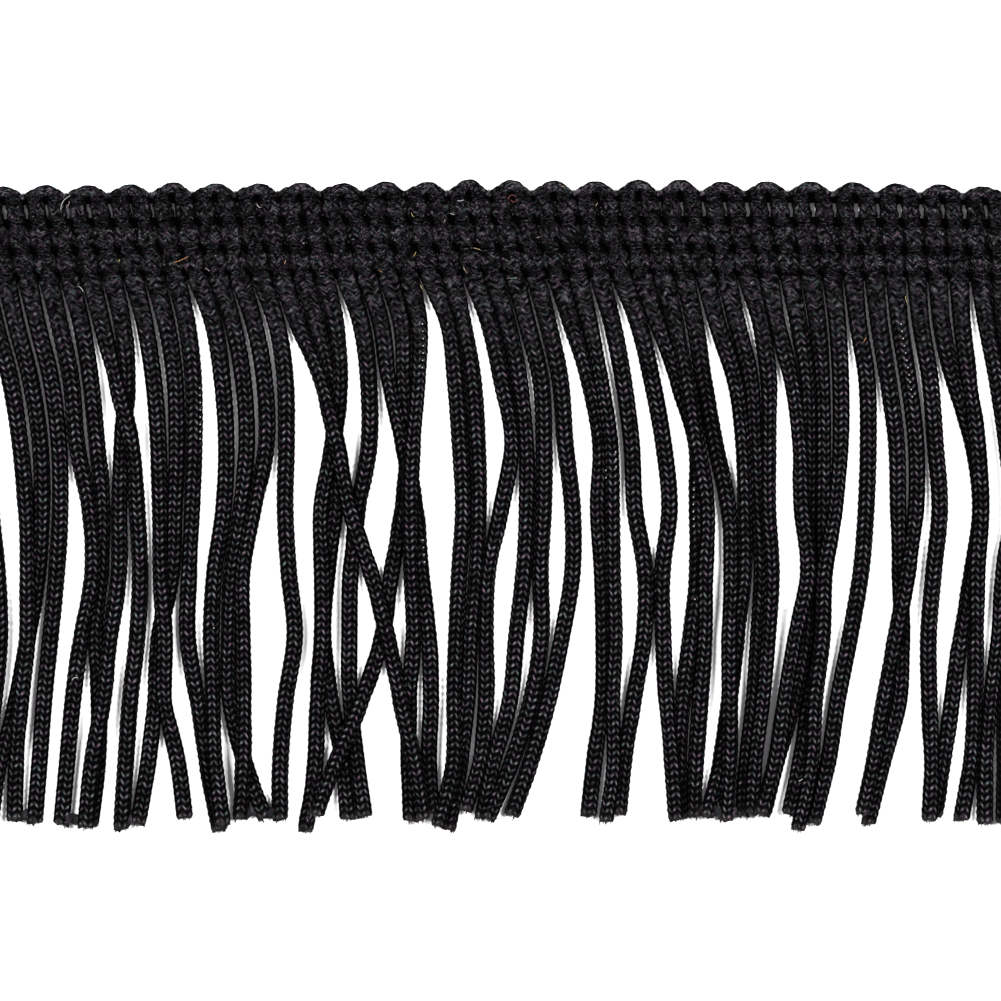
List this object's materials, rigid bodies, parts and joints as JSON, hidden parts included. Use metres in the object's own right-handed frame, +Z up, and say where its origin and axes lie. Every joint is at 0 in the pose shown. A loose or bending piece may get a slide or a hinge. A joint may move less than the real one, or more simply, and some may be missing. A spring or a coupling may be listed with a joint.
{
  "type": "chainette fringe",
  "caption": "Black chainette fringe, a looped cord heading held by rows of chain stitching with long strands below, lying flat, face up.",
  "frame": {"origin": "centre of the laid-out fringe's outline, at the level it lies on", "axes": "+X along the heading, +Y from the strands' cut ends towards the looped edge of the heading, +Z up, out of the face"},
  "size_m": [0.1409, 0.0813, 0.0041],
  "materials": {
    "heading_yarn": "matt black yarn",
    "strand_yarn": "matt black yarn"
  },
  "bodies": {
    "root": {"heading": "heading_yarn", "strands": "strand_yarn"}
  },
  "joints": []
}
